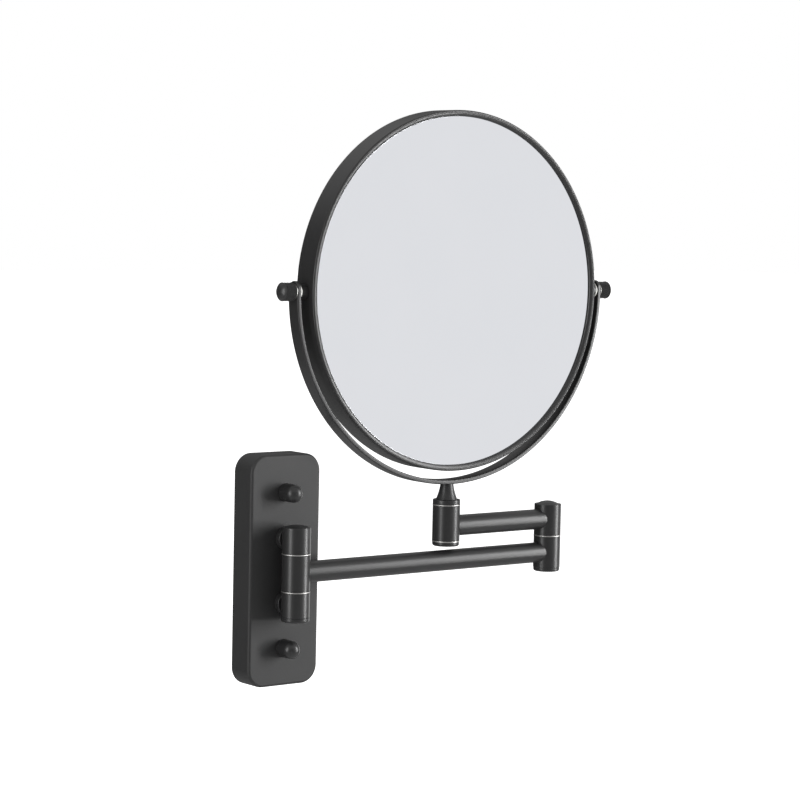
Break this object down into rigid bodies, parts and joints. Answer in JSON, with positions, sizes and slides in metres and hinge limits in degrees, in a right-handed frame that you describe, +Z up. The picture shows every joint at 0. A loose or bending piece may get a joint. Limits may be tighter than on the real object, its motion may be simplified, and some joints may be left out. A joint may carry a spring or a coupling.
{
  "type": "extendable shaving mirror",
  "caption": "Round two-sided shaving mirror tilting in a half-ring yoke, on a folding two-part arm hinged to an upright wall plate.",
  "frame": {"origin": "centre of the wall bracket's back face, in the plane of the wall", "axes": "+Y into the wall, so the front faces -Y; +X to the right along the wall; +Z up"},
  "size_m": [0.2458, 0.0351, 0.3186],
  "materials": {
    "black_coating": "satin powder coat",
    "zinc_steel": "zinc plated",
    "bright_nickel": "polished",
    "nylon": "plain",
    "silvered_glass": "polished",
    "backing_board": "plain"
  },
  "bodies": {
    "wall_mount": {"wall_bracket": "zinc_steel", "mounting_studs": "zinc_steel", "cover_plate": "black_coating", "cap_nuts": "black_coating", "upper_lug": "black_coating", "lower_lug": "black_coating", "lug_screws": "zinc_steel", "lug_screw_washers": "zinc_steel", "arm_pin": "zinc_steel", "arm_pin_nut": "zinc_steel", "hinge_washers": "bright_nickel", "upper_hinge_cap": "black_coating", "lower_hinge_cap": "black_coating"},
    "lower_arm": {"hinge_barrel": "black_coating", "hinge_bushes": "nylon", "lower_arm_tube": "black_coating", "elbow_lower_barrel": "black_coating", "elbow_pin": "zinc_steel", "elbow_spring_washer": "zinc_steel", "elbow_locknut": "zinc_steel", "elbow_bottom_cap": "black_coating"},
    "upper_arm": {"elbow_washer": "bright_nickel", "elbow_upper_barrel": "black_coating", "elbow_bush": "nylon", "elbow_dome_cap": "black_coating", "upper_arm_tube": "black_coating", "post_barrel": "black_coating", "post_bush": "nylon", "post_lower_ring": "bright_nickel", "post_bottom_cap": "black_coating"},
    "yoke": {"yoke_band": "black_coating", "yoke_neck": "black_coating", "swivel_pin": "zinc_steel", "post_upper_washer": "bright_nickel", "post_spring_washer": "zinc_steel", "post_locknut": "zinc_steel", "outer_pivot_washers": "bright_nickel", "inner_pivot_washers": "nylon"},
    "mirror_head": {"mirror_rim": "black_coating", "front_bezel": "black_coating", "rear_bezel": "black_coating", "plain_glass": "silvered_glass", "magnifying_glass": "silvered_glass", "backing_disc": "backing_board", "pivot_bosses": "black_coating"},
    "left_knob": {"left_knob": "black_coating", "left_knob_screw": "zinc_steel"},
    "right_knob": {"right_knob": "black_coating", "right_knob_screw": "zinc_steel"}
  },
  "joints": [
    {"name": "arm_swing", "type": "hinge", "parent": "wall_mount", "child": "lower_arm", "pos_m": [0, -0.0271, 0], "axis": [0, 0, 1], "range_deg": [-180, 0]},
    {"name": "elbow_fold", "type": "hinge", "parent": "lower_arm", "child": "upper_arm", "pos_m": [0.18, -0.0271, 0.00975], "axis": [0, 0, 1], "continuous": true},
    {"name": "mirror_swivel", "type": "hinge", "parent": "upper_arm", "child": "yoke", "pos_m": [0.104, -0.0271, 0.0318], "axis": [0, 0, 1], "continuous": true},
    {"name": "mirror_tilt", "type": "hinge", "parent": "yoke", "child": "mirror_head", "pos_m": [0.104, -0.0271, 0.1532], "axis": [1, 0, 0], "continuous": true},
    {"name": "left_knob_turn", "type": "hinge", "parent": "yoke", "child": "left_knob", "pos_m": [-0.008, -0.0271, 0.1532], "axis": [1, 0, 0], "continuous": true},
    {"name": "right_knob_turn", "type": "hinge", "parent": "yoke", "child": "right_knob", "pos_m": [0.216, -0.0271, 0.1532], "axis": [1, 0, 0], "continuous": true}
  ]
}
